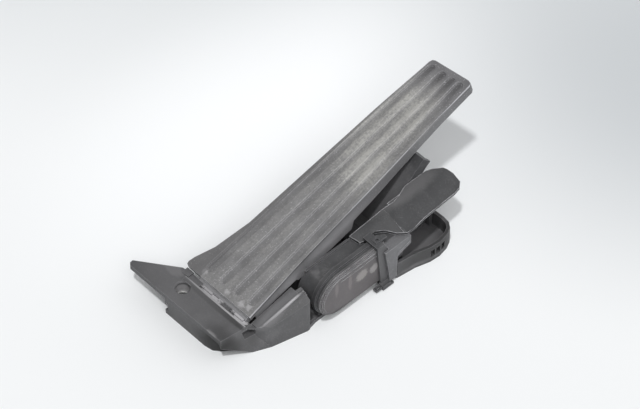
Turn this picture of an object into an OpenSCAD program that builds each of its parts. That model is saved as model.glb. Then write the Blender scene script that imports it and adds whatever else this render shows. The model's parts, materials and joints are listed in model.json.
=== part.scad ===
// Accelerator pedal module, hinged at the floor, in millimetres.
// X runs to the right, Y from the heel to the tip of the pad, Z up. Z = 0 is the table.
// The hinge of the pad lies along X, close to Y = 0. The pad is drawn released.

/* [Pad] */
// Length of the pad from the hinge end to the tip
pad_length = 215; // [200:1:230]
// Slope of the released pad above the table
pad_angle = 17; // [15:0.5:20]
// Half width of the pad at the hinge end, on the right
pad_half_low = 24.2; // [23:0.2:27]
// Half width of the pad at the tip
pad_half_top = 18.2; // [17:0.2:19]
// Thickness of the pad's plate
pad_plate = 3.5; // [3:0.1:4.5]
// Thickness of the pad's skirt
skirt_wall = 2.4; // [2:0.1:3]
// Depth of the grooves in the pad
groove_depth = 1.1; // [0.6:0.1:1.6]
// Width of the grooves in the pad
groove_width = 6.4; // [5:0.2:8]
// Height of the pad's face over the table at the hinge end
pad_face_z = 22; // [20:0.5:25]

/* [Pad hinge] */
// Radius of the hinge bead
bead_r = 3; // [2.5:0.1:3.5]
// Gap between the bead and its sockets
bead_gap = 0.15; // [0.1:0.05:0.3]
// Y of the hinge axis
hinge_y = 1.5; // [0:0.5:3]
// Z of the hinge axis
hinge_z = 17.5; // [16:0.5:19]

/* [Base] */
// Height of the heel plate's top
heel_z = 20; // [18:0.5:22]
// Thickness of the heel plate
heel_plate = 4; // [3:0.5:5]
// Thickness of the floor
floor_t = 3; // [2.5:0.5:4]
// Thickness of the upright walls
wall_t = 3; // [2.5:0.5:4]
// Radius of the fixing hole through the steel sleeve in the heel
fix_r = 3.6; // [3.2:0.1:4]
// Height of the steel sleeve in the heel
sleeve_h = 11; // [8:0.5:14]
// Radius of the fixing hole at the rear of the floor
rear_r = 3.6; // [3:0.1:4]
// Top of the right side wall at its rear end
side_z = 34.6; // [30:0.2:36]
// Height of the tray wall
tray_h = 15; // [12:0.5:18]

/* [Lever] */
// Y of the lever's shaft
shaft_y = 101; // [99:0.5:103]
// Z of the lever's shaft
shaft_z = 12; // [11:0.5:13]
// Radius of the lever's shaft
shaft_r = 4; // [3.5:0.1:4.5]
// Length of the lever from the shaft to the centre of the sliding shoe
lever_len = 62; // [58:1:66]
// Radius of the sliding shoe
shoe_r = 4.5; // [4:0.1:5]
// Gap between the shoe and the pad's track
shoe_gap = 0.25; // [0.2:0.05:0.4]

/* [Return springs] */
// Mean radius of the outer spring
outer_spring_r = 6.6; // [6:0.1:7.5]
// Mean radius of the inner spring
inner_spring_r = 3.8; // [3:0.1:4.2]
// Radius of the outer wire
outer_wire_r = 0.8; // [0.6:0.05:1]
// Radius of the inner wire
inner_wire_r = 0.6; // [0.5:0.05:0.8]

/* [Sensor] */
// Radius of the round end of the sensor cover
cover_r = 19; // [17:0.5:20]
// Outer face of the sensor cover
cover_x = 50.5; // [49:0.5:52]
// Inner face of the sensor housing
house_x = 28.5; // [27.5:0.5:30]

/* [Hidden] */
$fn = 64;
eps = 0.01;

// Shared values worked out from the sizes above
face_off = cos(pad_angle) * (pad_face_z - hinge_z) + sin(pad_angle) * hinge_y;
plate_off = face_off - pad_plate;
track_h = 4;
shoe_off = plate_off - track_h - shoe_r - shoe_gap;
dy = shaft_y - hinge_y;
dz = shaft_z - hinge_z;
lever_angle = pad_angle + asin((shoe_off - dz * cos(pad_angle) + dy * sin(pad_angle)) / lever_len);
seat_y = 71.7;
seat_x = 0.4;
rear_x = -22;
rear_y = 149;
kick_x = -14;
kick_y = 140;
stop_x = -14.4;
stop_y = 114;
spring_top = 36.6;
kick_foot_r = 7.8;
shield_z = 44;
shield_crease = 112;
fix_x = -25.3;
fix_y = -13.7;
sleeve_wall = 1.1;
cover_z = cover_r + 3;
cover_top = cover_z + cover_r;
cover_y0 = 37.5 + cover_r;
cover_y1 = 96;

// Helpers
// Puts children drawn in pad space (x across, y along the pad, z out of its face) at rest
module in_pad() {
    translate([0, 0, pad_face_z]) rotate([pad_angle, 0, 0]) children();
}

// Puts children drawn in lever space (y along the arm from the shaft, z square to it) at rest
module in_lever() {
    translate([0, shaft_y, shaft_z]) rotate([lever_angle, 0, 0]) children();
}

// A cylinder along X from x0 to x1
module xcyl(x0, x1, y, z, r) {
    translate([x0, y, z]) rotate([0, 90, 0]) cylinder(h = x1 - x0, r = r);
}

// A box given by its two corners
module box(a, b) {
    translate(a) cube([b[0] - a[0], b[1] - a[1], b[2] - a[2]]);
}

// The racetrack of the sensor: round at the front, square at the back, grown by g
module track_shape(x0, x1, g) {
    translate([x0, 0, 0]) rotate([90, 0, 90]) linear_extrude(x1 - x0) union() {
        translate([cover_y0, cover_z]) circle(cover_r + g);
        translate([cover_y0, cover_z - cover_r - g])
            square([cover_y1 - cover_y0, 2 * (cover_r + g)]);
    }
}

// Outline of the pad seen square to its face
module pad_outline(s) {
    polygon([
        [-34.9 + s, s], [pad_half_low - s, s], [pad_half_low - 1 - s, 20], [pad_half_low - 2.4 - s, 50],
        [pad_half_top + 2 - s, 125], [pad_half_top - s, 182], [pad_half_top - s, pad_length - 2.6 - s],
        [pad_half_top - 1.4 - s, pad_length - 0.6 - s], [pad_half_top - 3.8 - s / 2, pad_length - s],
        [-pad_half_top + 4.8 + s / 2, pad_length - 2.7 - s], [-pad_half_top + 2.8 + s, pad_length - 3.7 - s],
        [-pad_half_top + 1.9 + s, pad_length - 6 - s], [-16.6 + s, 203], [-17.8 + s, 188], [-19.6 + s, 164],
        [-23.2 + s, 93], [-25.8 + s, 48], [-30.8 + s, 21], [-36.2 + s, 7.2], [-37.2 + s, 2.8 + s / 2],
        [-36.7 + s, 0.8 + s]
    ]);
}

// One lengthwise groove: a steep wall on the left, a floor that rises to the right, round ends
module groove(u0, v0, u1, v1) {
    w = groove_width / 2;
    d = groove_depth;
    l = sqrt((u1 - u0) * (u1 - u0) + (v1 - v0) * (v1 - v0));
    translate([u0, v0, 0]) rotate([0, 0, -atan2(u1 - u0, v1 - v0)]) intersection() {
        translate([0, l + w + 1, 0]) rotate([90, 0, 0]) linear_extrude(l + 2 * w + 2) polygon([
            [-w, 1], [-w, 0], [-w + 0.9, -d], [-w + 2, -d], [0.3 * w, -0.72 * d], [0.75 * w, -0.3 * d], [w, 0], [w, 1]
        ]);
        union() {
            translate([0, 0, -d - eps]) cylinder(h = 2 * d, r1 = w - 1.2, r2 = w + 1.2);
            translate([0, l, -d - eps]) cylinder(h = 2 * d, r1 = w - 1.2, r2 = w + 1.2);
            box([-w - 1, 0, -d - 1], [w + 1, l, d]);
        }
    }
}

// Pad
module pad() {
    color([0.32, 0.32, 0.32]) union() {
        in_pad() difference() {
            union() {
                translate([0, 0, -pad_plate]) linear_extrude(pad_plate) pad_outline(0);
                pad_skirt();
                // Lengthwise and cross ribs under the plate
                for (u = [-9.4, 10.2]) {
                    box([u - 0.9, 8, -9], [u + 0.9, 94, -pad_plate + eps]);
                    box([u - 0.9, 93, -6.5], [u + 0.9, 204, -pad_plate + eps]);
                }
                for (v = [28, 58, 92, 120, 190]) {
                    w = 19.5 - v * 0.03;
                    box([-w, v - 0.8, -6.5], [w, v + 0.8, -pad_plate + eps]);
                }
                // Track that the sliding shoe runs on
                box([-6, 140, -pad_plate - track_h], [6, 186, -pad_plate + eps]);
            }
            groove(-22.2, 8.5, -11.8, 206);
            groove(-8.6, 8.5, -2.4, 206.8);
            groove(4.6, 8.5, 5.6, 207.4);
            groove(17.2, 9, 12.3, 207.8);
        }
        // Hinge bead
        xcyl(-24, 22, hinge_y, hinge_z, bead_r);
        // Seat of the return springs
        difference() {
            translate([seat_x, seat_y, spring_top]) cylinder(h = 8, r = 8.4);
            in_pad() box([-30, 40, -pad_plate / 2], [30, 120, 20]);
            translate([seat_x, seat_y, spring_top - 1]) cylinder(h = 1.4, r = 7.6);
        }
    }
}

// Skirt round the pad, deeper towards the hinge
module pad_skirt() {
    intersection() {
        translate([0, 0, -30]) difference() {
            linear_extrude(30 - pad_plate / 2) pad_outline(0);
            translate([0, 0, -1]) linear_extrude(40) pad_outline(skirt_wall);
        }
        translate([-50, 0, 0]) rotate([90, 0, 90]) linear_extrude(100) polygon([
            [4, 1], [4, -7.5], [12, -8.5], [41, -12], [42.5, -14.5], [60, -16.8], [92, -19.2], [96, -13.2],
            [112, -12.6], [140, -10.6], [170, -10], [208, -9], [230, -9], [230, 1]
        ]);
        union() {
            box([-50, 4, -40], [-10, 230, 2]);
            box([10, 4, -40], [50, 230, 2]);
            box([-50, 190, -40], [50, 230, 2]);
        }
    }
}

// Base
module base() {
    color([0.27, 0.27, 0.28]) difference() {
        union() {
            heel();
            // Floor under the mechanism
            linear_extrude(floor_t) polygon([
                [-30, -6], [30.6, -6.2], [38.5, 5.6], [45.1, 31.4], [44.5, 34], [43.5, 40], [43.5, 98], [53.6, 104],
                [55.6, 118.5], [58.8, 129.2], [59.6, 137.6], [58.2, 145.3], [55.8, 150.4], [51.7, 153.2],
                [36, 153.8], [10, 158], [-20, 158], [-30, 150]
            ]);
            // Low left wall and rear wall
            box([-30, -6, 0], [-27, 150, 9]);
            box([-22, 155, 0], [10, 158, 9]);
            side_wall();
            // Recessed wall with upright ribs between side wall and sensor
            box([31, 33, 0], [33.5, 38.3, 27]);
            for (y = [34.6, 36.8]) {
                box([33, y, 0], [38, y + 0.9, 26]);
            }
            box([33, 33, 0], [43, 40, 5]);
            hinge_channel();
            // Post and wall that carry the lever's shaft
            box([-19, shaft_y - 8, 0], [-13.5, shaft_y + 8, shaft_z]);
            xcyl(-19, -13.5, shaft_y, shaft_z, 8);
            // Cup for the springs
            translate([seat_x, seat_y, 0]) difference() {
                cylinder(h = 7, r = 10);
                translate([0, 0, floor_t]) cylinder(h = 6, r = 8.2);
            }
            // Foot of the kick-down case
            translate([kick_x, kick_y, 0]) cylinder(h = 5, r = kick_foot_r);
            // Post of the stop buffer
            translate([stop_x, stop_y, 0]) cylinder(h = 21, r = 3.6);
            // Web that carries the shield
            box([31.6, 117, 0], [34.6, 151, 41]);
            box([34.5, 117, 0], [38.5, 119.5, 34]);
            box([34.5, 148.5, 0], [38.5, 151, 34]);
            // Tray wall round the connector
            tray_wall();
            // Rest that the sensor housing lies on
            box([30, 44, 0], [41.9, 94, 4]);
        }
        // Bores
        translate([fix_x, fix_y, -1]) cylinder(h = 30, r = fix_r + sleeve_wall);
        translate([fix_x, fix_y, heel_z - 0.9]) cylinder(h = 1, r1 = fix_r + sleeve_wall, r2 = fix_r + 2);
        translate([rear_x, rear_y, -1]) cylinder(h = 10, r = rear_r);
        for (y = [58, 86]) {
            translate([36.4, y, -1]) cylinder(h = 3.4, r = 3.3);
            translate([36.4, y, -1]) cylinder(h = 10, r = 1.7);
        }
        for (y = [124, 144]) {
            xcyl(31, 33.2, y, 36, 1.3);
        }
        // Hollow in the side wall block, open below
        translate([0, 0, -1]) linear_extrude(heel_z - 1.6)
            polygon([[29.5, 1], [33.4, 3], [37.2, 8], [42.4, 29.5], [42.2, 31], [29.5, 31]]);
        xcyl(-24.6, 22.6, hinge_y, hinge_z, bead_r + bead_gap);
        xcyl(-20, -12, shaft_y, shaft_z, shaft_r + 1.5);
        translate([kick_x, kick_y, floor_t]) cylinder(h = 4, r = 6.6);
        // Slot across the crease between facet and side wall
        box([26.4, -10, 13.4], [40, -1.8, 18.3]);
        // Small window at the left end of the skirt
        box([-31, -28, 4], [-26.8, -20, 11]);
        // Window with two struts in the tray wall
        for (y = [129.5, 134.2, 138.9]) {
            box([52, y, 4], [64, y + 3.8, 11]);
        }
    }
}

// Right side wall: a slanted block with a raised outer rim that climbs to the rear
module side_wall() {
    difference() {
        intersection() {
            linear_extrude(50) polygon([[27, -6.6], [38.6, 5.6], [45.2, 31.4], [45, 33.5], [27, 33.5]]);
            translate([20, 0, 0]) rotate([90, 0, 90]) linear_extrude(30) polygon([
                [-7, 0], [-7, heel_z - 0.8], [-1.2, heel_z - 0.8], [-1.2, heel_z + 0.5],
                [1.2, heel_z + 1], [33.5, side_z], [33.5, 0]
            ]);
        }
        // Ledge beside the pad, lower than the rim
        intersection() {
            linear_extrude(60) polygon([[20, -1.2], [32.3, -1.2], [33.4, 1.2], [38.3, 33], [38.3, 40], [20, 40]]);
            translate([10, 0, 0]) rotate([90, 0, 90]) linear_extrude(40)
                polygon([[-1.2, heel_z + 0.3], [40, heel_z + 8.5], [40, 60], [-1.2, 60]]);
        }
        // Outer shoulder of the rim
        translate([35, 1.2, heel_z + 1.2]) rotate([21, 0, -9.6]) rotate([0, 40, 0]) box([0.2, -10, 0], [20, 60, 20]);
    }
    // Bead along the rim's inner edge
    translate([34.1, 1, heel_z + 0.7]) rotate([-67, 0, -8.6]) cylinder(h = 35, r = 0.8);
}

// Channel for the pad's hinge bead: a flat bar at the left, deeper stretches and the sockets
module hinge_channel() {
    for (s = [[-30, -19, 1.8], [-19, -2, -0.3], [-2, 8, 0.8], [8, 28, -0.3]]) {
        box([s[0], -6.2, 0], [s[1] + eps, -0.8, hinge_z + s[2]]);
    }
    for (x = [[-22, -9], [-3, 5], [9, 20.5]]) {
        box([x[0], -3.2, 0], [x[1], 6.2, hinge_z + 1]);
    }
}

// Heel plate with its wing, its skirt and the sloped right corner
module heel() {
    difference() {
        union() {
            translate([0, 0, heel_z - heel_plate]) linear_extrude(heel_plate) polygon([
                [-64.4, -24.5], [-62.6, -26], [24.5, -25.6], [34.6, -3], [34, 1], [27, -1.2],
                [27, -5.4], [-30.5, -5.4], [-31, -1.5], [-37.4, -2.4], [-62.6, -20.6], [-64.6, -22]
            ]);
            // Plate behind the sloped facet
            intersection() {
                linear_extrude(heel_z) polygon([[21, -25.6], [24.5, -25.6], [38.6, 5.6], [35, 5], [21, -9]]);
                at_facet() box([-8, -60, -3.4], [40, 60, 0]);
            }
            // Skirt
            linear_extrude(heel_z - 1) difference() {
                polygon([
                    [-29.5, -25.4], [8.3, -25.2], [14.5, -24], [19.1, -20.2], [30.8, -6.5], [38.2, 5],
                    [30, 4.6], [28, -5], [-29.5, -5]
                ]);
                polygon([[-27, -22.6], [7.6, -22.6], [13, -21.4], [17, -18], [26, -7.6], [-27, -7.6]]);
            }
            // Lip along the hinge channel, with a slope in front of it
            translate([-30.5, 0, 0]) rotate([90, 0, 90]) linear_extrude(57.7) polygon([
                [-9.4, heel_z - 2], [-9.4, heel_z - 0.01], [-6.9, heel_z + 1], [-6, heel_z + 1], [-6, heel_z - 6], [-7, heel_z - 6]
            ]);
            // Lug at the left end of the channel
            box([-35, -5.4, heel_z - heel_plate], [-29, -0.4, heel_z + 0.8]);
            // Ribs under the plate
            for (r = [[-14, -23], [2, -23], [14.6, -21]]) {
                box([r[0], r[1], 2], [r[0] + 1.6, -6, heel_z - 1]);
            }
            // Boss round the fixing hole
            translate([fix_x, fix_y, 0]) cylinder(h = heel_z - 0.4, r = fix_r + 4.4);
        }
        // Sloped facet at the right corner
        at_facet() box([-4, -60, 0], [40, 60, 30]);
    }
}

// Puts children on the sloped facet: its upper edge is the crease in the heel plate
module at_facet() {
    translate([26.9, -6.7, heel_z]) rotate([0, 0, -7.7]) rotate([0, 63.6, 0]) children();
}

// Curved outer wall and rear wall of the tray
module tray_wall() {
    linear_extrude(tray_h) polygon([
        [51.4, 104.4], [53.6, 104.4], [55.6, 118.5], [58.8, 129.2], [59.6, 137.6], [58.2, 145.3], [55.8, 150.4],
        [51.7, 153.4], [46, 154.2], [36, 153.8], [36, 151.5], [46, 151.9], [50.9, 151.1], [54, 148.9],
        [56, 144.6], [57.3, 137.4], [56.6, 129.8], [53.4, 119.2]
    ]);
}

// Steel sleeve at the bottom of the fixing hole
module fixing_sleeve() {
    color([0.6, 0.6, 0.6]) translate([fix_x, fix_y, 0]) difference() {
        cylinder(h = sleeve_h, r = fix_r + sleeve_wall);
        translate([0, 0, -1]) cylinder(h = 30, r = fix_r);
    }
}

// Rubber buffer under the pad
module stop_buffer() {
    color([0.12, 0.12, 0.12]) translate([stop_x, stop_y, 21]) union() {
        cylinder(h = 4.2, r = 3.6);
        translate([0, 0, 4.2]) cylinder(h = 2.4, r1 = 3.6, r2 = 2.4);
    }
}

// Lever with its shaft
module lever() {
    color([0.2, 0.2, 0.21]) difference() {
        union() {
            // Shaft from the left post to the rotor
            xcyl(-18.5, 40.5, shaft_y, shaft_z, shaft_r);
            xcyl(-12.5, 17.8, shaft_y, shaft_z, 7.2);
            // Rotor cup at the sensor end
            xcyl(34.5, 40.5, shaft_y, shaft_z, 6.8);
            in_lever() union() {
                box([-5, 0, -5], [7, lever_len - 5, 3.2]);
                // Fork for the shoe
                box([-5, lever_len - 8, -4.5], [7, lever_len + 2.4, 0.6]);
                // Wide right half, seen beside the pad
                box([6, 14, -7.5], [26, lever_len + 7, -3.2]);
                box([23.5, 20, -12.5], [26, lever_len + 7, -3.2]);
                box([6, lever_len + 4.6, -10], [26, lever_len + 7, -3.2]);
            }
        }
        // Hollow of the rotor cup for the magnet
        xcyl(37, 41, shaft_y, shaft_z, 5);
        // Lightening pocket in the arm
        in_lever() box([-2.6, 16, 0.4], [4.6, lever_len - 14, 4]);
    }
}

// Sliding shoe clipped on the lever's end
module slide_shoe() {
    color([0.75, 0.74, 0.7]) in_lever() translate([0, lever_len, 0]) difference() {
        rotate([0, 90, 0]) translate([0, 0, -5]) cylinder(h = 12, r = shoe_r);
        box([-6, -20, -20], [8, 20, 0.6]);
    }
}

// Plain bushes on the shaft, one in the post and one in the housing wall
module shaft_bushes() {
    color([0.7, 0.68, 0.62]) for (x = [[-19, -13.5], [house_x, house_x + 3]]) {
        difference() {
            xcyl(x[0], x[1], shaft_y, shaft_z, shaft_r + 1.5);
            xcyl(x[0] - 1, x[1] + 1, shaft_y, shaft_z, shaft_r + 0.06);
        }
    }
}

// Friction ring on the lever's hub
module friction_ring() {
    color([0.55, 0.5, 0.4]) difference() {
        xcyl(-13.3, -12.7, shaft_y, shaft_z, 7);
        xcyl(-14, -12, shaft_y, shaft_z, shaft_r + 0.1);
    }
}

// A coil spring standing on z0, wound from a wire of radius w at the radius r
module coil(r, w, z0, z1, turns) {
    steps = 18;
    sides = 7;
    n = turns * steps;
    pitch = (z1 - z0 - 2 * w) / turns;
    pts = [for (i = [0 : n], j = [0 : sides - 1])
        let (a = i * 360 / steps, b = j * 360 / sides, q = r + w * cos(b))
        [seat_x + q * cos(a), seat_y + q * sin(a), z0 + w + pitch * i / steps + w * sin(b)]];
    side = [for (i = [0 : n - 1], j = [0 : sides - 1])
        let (k = (j + 1) % sides)
        [i * sides + j, (i + 1) * sides + j, (i + 1) * sides + k, i * sides + k]];
    first = [for (j = [0 : sides - 1]) j];
    last = [for (j = [sides - 1 : -1 : 0]) n * sides + j];
    polyhedron(points = pts, faces = concat([first], side, [last]), convexity = 10);
}

// Return springs, one inside the other
module outer_return_spring() {
    color([0.5, 0.5, 0.52]) coil(outer_spring_r, outer_wire_r, floor_t, spring_top + 0.38, 7);
}

module inner_return_spring() {
    color([0.5, 0.5, 0.52]) coil(inner_spring_r, inner_wire_r, floor_t, spring_top + 0.38, 9);
}

// Case of the kick-down unit
module kickdown_case() {
    color([0.15, 0.15, 0.15]) translate([kick_x, kick_y, floor_t]) difference() {
        cylinder(h = 18, r = 6.5);
        translate([0, 0, 2]) cylinder(h = 20, r = 4.6);
    }
}

// Collar that keeps the plunger in its case
module kickdown_cap() {
    color([0.2, 0.2, 0.2]) translate([kick_x, kick_y, 0]) difference() {
        union() {
            translate([0, 0, 17.5]) cylinder(h = 3.5, r = 4.55);
            translate([0, 0, 21]) cylinder(h = 1.4, r = 5.8);
        }
        cylinder(h = 40, r = 3.1);
    }
}

// Plunger of the kick-down unit, pushed by the pad at the end of its travel
module kickdown_plunger() {
    color([0.6, 0.6, 0.58]) translate([kick_x, kick_y, 0]) union() {
        translate([0, 0, 17.3]) cylinder(h = 12, r = 2.9);
        translate([0, 0, 16.1]) cylinder(h = 1.3, r = 4.3);
        translate([0, 0, 29.3]) cylinder(h = 0.9, r1 = 2.9, r2 = 2);
    }
}

// Spring under the plunger
module kickdown_spring() {
    color([0.5, 0.5, 0.52]) translate([kick_x - seat_x, kick_y - seat_y, 0]) coil(3.2, 0.45, 5.02, 16.08, 6);
}

// Sensor housing: deck, rounded front, flange of the cover and the bay of the connector
module sensor_housing() {
    color([0.2, 0.2, 0.21]) difference() {
        union() {
            // Block beside the pad, rounded at its front end
            intersection() {
                box([house_x, 36, 4], [44, 115, 36]);
                union() {
                    box([20, 50, 0], [60, 116, 50]);
                    xcyl(20, 60, 54.6, 22, 16);
                }
            }
            track_shape(42, 45, 0);
            track_shape(44.9, 47, -1.3);
            // Bay that carries the connector
            box([42, 95.9, 4], [47, 115, 36]);
            // Lip on the deck next to the pad
            box([house_x, 44, 34], [30.2, 82, 37]);
        }
        // Cavity for the sensor, open towards the cover
        track_shape(39.6, 50, -4);
        difference() {
            box([33, 52, 6], [42, 97, 32]);
            for (y = [58, 86]) {
                translate([36.4, y, 0]) cylinder(h = 12, r = 3.2);
            }
        }
        // Bores for the screws from below
        for (y = [58, 86]) {
            translate([36.4, y, 0]) cylinder(h = 10.5, r = 1.5);
        }
        box([33, 90, 5], [42.5, 112, 32]);
        box([42, 90, 6], [43.8, 111, 32]);
        // Bore for the bush
        xcyl(20, 34, shaft_y, shaft_z, shaft_r + 1.5);
        // Groove for the seal
        difference() {
            track_shape(46, 48, -2);
            track_shape(45, 49, -3.2);
        }
    }
}

// Sensor cover with its stepped rim
module sensor_cover() {
    color([0.42, 0.4, 0.4]) difference() {
        union() {
            track_shape(47, 48.6, -0.9);
            track_shape(48.5, 49.8, -2.1);
            track_shape(49.7, cover_x, -3.4);
        }
        track_shape(46, 48.2, -5);
        // Long groove along the top edge of the face
        box([cover_x - 0.5, 56, 34.2], [cover_x + 1, 90, 35.1]);
    }
}

// Seal between housing and cover
module cover_seal() {
    color([0.1, 0.1, 0.1]) difference() {
        track_shape(46.02, 46.98, -2.05);
        track_shape(45, 48, -3.15);
    }
}

// Circuit board in the housing
module circuit_board() {
    color([0.1, 0.32, 0.18]) difference() {
        union() {
            box([40.9, 52, 9.5], [42.4, 95.4, 34]);
            box([40.9, 95.3, 6.5], [41.9, 111, 30]);
        }
        box([40, 84, 17], [43, 87, 20]);
    }
}

// Sensor chips and small parts on the board
module sensor_chips() {
    color([0.08, 0.08, 0.08]) union() {
        box([42.4, 60, 14], [43.8, 68, 22]);
        box([42.4, 74, 24], [43.6, 79, 29]);
        box([42.4, 74, 12], [43.4, 78, 15]);
        box([41.9, 98, 9], [43, 104, 15]);
    }
}

// Ring magnet in the lever's rotor cup
module rotor_magnet() {
    color([0.3, 0.3, 0.32]) difference() {
        xcyl(37, 40, shaft_y, shaft_z, 4.98);
        xcyl(36, 41, shaft_y, shaft_z, 2);
    }
}

// Connector shell: a tall block behind the cover and an arm with the socket, open to the rear
module connector_shell() {
    color([0.5, 0.51, 0.53]) difference() {
        union() {
            box([47, 96.6, 3.3], [54, 103.4, 35.4]);
            // Arm with a sloped underside
            translate([47, 0, 0]) rotate([90, 0, 90]) linear_extrude(7)
                polygon([[103.3, 24.4], [115.4, 28.4], [115.4, 35.4], [103.3, 35.4]]);
            // Double ridge along the arm's lower edge
            for (z = [0, 1.7]) {
                translate([53.9, 0, z]) rotate([90, 0, 90]) linear_extrude(0.5)
                    polygon([[103.3, 24.5], [115.2, 28.3], [115.2, 29], [103.3, 25.2]]);
            }
            // Front apron that laps over the band
            translate([52.4, 0, 0]) rotate([90, 0, 90]) linear_extrude(1.6)
                polygon([[92.2, 35.4], [96.7, 35.4], [96.7, 6], [95.4, 16]]);
            // Inner block under the arm, set back
            box([47, 103.3, 14], [50, 112, 27.6]);
        }
        // Socket and the seats of the pins
        box([48.3, 106, 29.4], [52.7, 117, 34.2]);
        pin_rows();
    }
}

// Contact pins in the socket, in two rows of three
module pin_rows() {
    for (x = [49.5, 51.3], z = [30.2, 31.7, 33.2]) {
        box([x - 0.25, 104, z - 0.25], [x + 0.25, 112, z + 0.25]);
    }
}

module connector_pins() {
    color([0.72, 0.6, 0.32]) pin_rows();
}

// Seal ring at the bottom of the socket
module connector_seal() {
    color([0.6, 0.3, 0.15]) difference() {
        box([48.35, 106.02, 29.45], [52.65, 107.4, 34.15]);
        box([48.9, 105, 29.8], [51.9, 108, 33.7]);
    }
}

// Clip band that holds cover and connector on the housing
module clip_band() {
    color([0.24, 0.24, 0.25]) difference() {
        union() {
            translate([38.5, 0, 0]) rotate([90, 0, 90]) linear_extrude(13.7)
                polygon([[86.6, cover_top + 2.2], [93, cover_top + 2.2], [96.3, cover_top - 7], [96.3, 1.6], [91, 1.6]]);
            // Hook block on top
            box([44.5, 88.6, cover_top + 2.1], [49, 94.4, cover_top + 3.4]);
            box([46, 92.6, cover_top + 2.1], [49, 98, cover_top + 3.4]);
            // Loop tab and hook at the bottom
            box([50.8, 84.5, 1.6], [54.2, 91.5, 3]);
            box([51, 89.6, 0.8], [55.4, 96.4, 4.6]);
            box([51, 89.6, 0.8], [55.4, 99.2, 2.4]);
        }
        box([36, 80, 2.99], [50.6, 99, cover_top + 0.02]);
        box([36, 80, 0], [43.7, 97, 4]);
        box([51.8, 86, 0], [53.2, 89.4, 5]);
        box([45.8, 89.8, cover_top + 1.9], [47.8, 92.2, cover_top + 4]);
    }
}

// Shield over the cable outlet: a flat strip by the pad, a slope to the outside, a nose that dips to the deck
module cable_shield() {
    color([0.25, 0.25, 0.27]) difference() {
        union() {
            intersection() {
                linear_extrude(60) polygon([
                    [28.9, 83.6], [37.4, 85.1], [38.2, 88], [38.2, 97.6], [42, 103.3], [48.2, 108.1], [52.1, 113.4],
                    [52.4, 119.5], [51, 131], [50.6, 141.4], [50.1, 159.4], [49.2, 164.6], [46.4, 168], [39.5, 168.3],
                    [32.5, 166], [28.4, 160], [26.6, 155], [26.6, 136], [29.6, 128], [31, 122], [30.4, 108], [29.6, 96]
                ]);
                union() {
                    shield_section(shield_crease, 180);
                    translate([0, shield_crease, shield_z]) rotate([11.3, 0, 0])
                        translate([0, -shield_crease, -shield_z]) shield_section(60, shield_crease);
                }
            }
            // Lower lip by the lever
            box([26.6, 137, 38.4], [31.6, 152, 39.9]);
            // Upright strip against the web
            box([28.5, 118, 31], [31.5, 150, 43]);
        }
        for (y = [124, 144]) {
            xcyl(28, 33, y, 36, 1.3);
        }
        // The nose rests on the deck
        box([26, 80, 30], [44, 98, 36.1]);
    }
}

// Section of the shield from y0 to y1: level by the pad, sloped to the outside
module shield_section(y0, y1) {
    translate([0, y1, 0]) rotate([90, 0, 0]) linear_extrude(y1 - y0) polygon([
        [26, shield_z + 0.4], [35.5, shield_z], [53.5, shield_z - 6.8], [53, shield_z - 8.6],
        [35, shield_z - 2.2], [26, shield_z - 1.8]
    ]);
}

// Screws that hold the sensor housing from below
module housing_screws() {
    color([0.6, 0.6, 0.62]) for (y = [58, 86]) {
        translate([36.4, y, 0]) union() {
            translate([0, 0, 0.3]) cylinder(h = 2, r = 3);
            translate([0, 0, 2.2]) cylinder(h = 8, r = 1.5);
        }
    }
}

// Screws that hold the shield on its web
module shield_screws() {
    color([0.6, 0.6, 0.62]) for (y = [124, 144]) {
        xcyl(27.1, 28.5, y, 36, 2.4);
        xcyl(28.4, 33.1, y, 36, 1.3);
    }
}

base();
fixing_sleeve();
stop_buffer();
pad();
lever();
slide_shoe();
shaft_bushes();
outer_return_spring();
inner_return_spring();
friction_ring();
kickdown_case();
kickdown_plunger();
kickdown_spring();
kickdown_cap();
sensor_housing();
sensor_cover();
cover_seal();
circuit_board();
sensor_chips();
rotor_magnet();
connector_shell();
connector_pins();
connector_seal();
clip_band();
cable_shield();
housing_screws();
shield_screws();
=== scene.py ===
# %% [markdown]
# # A used accelerator pedal
#
# The object is the pedal module of a car: a long grooved treadle, hinged at its heel on a moulded
# base, with a lever, springs and a position sensor at its side. Nearly all of it is dark grey
# plastic, so its looks come from three things: crisp moulded edges that catch the light, a fine
# grain that breaks up the shine, and the places where a shoe has rubbed the plastic pale.
# The solids come from the construction model. Here they get rounded edges, finishes and light.

# %% Load the solids
import json
import math

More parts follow.
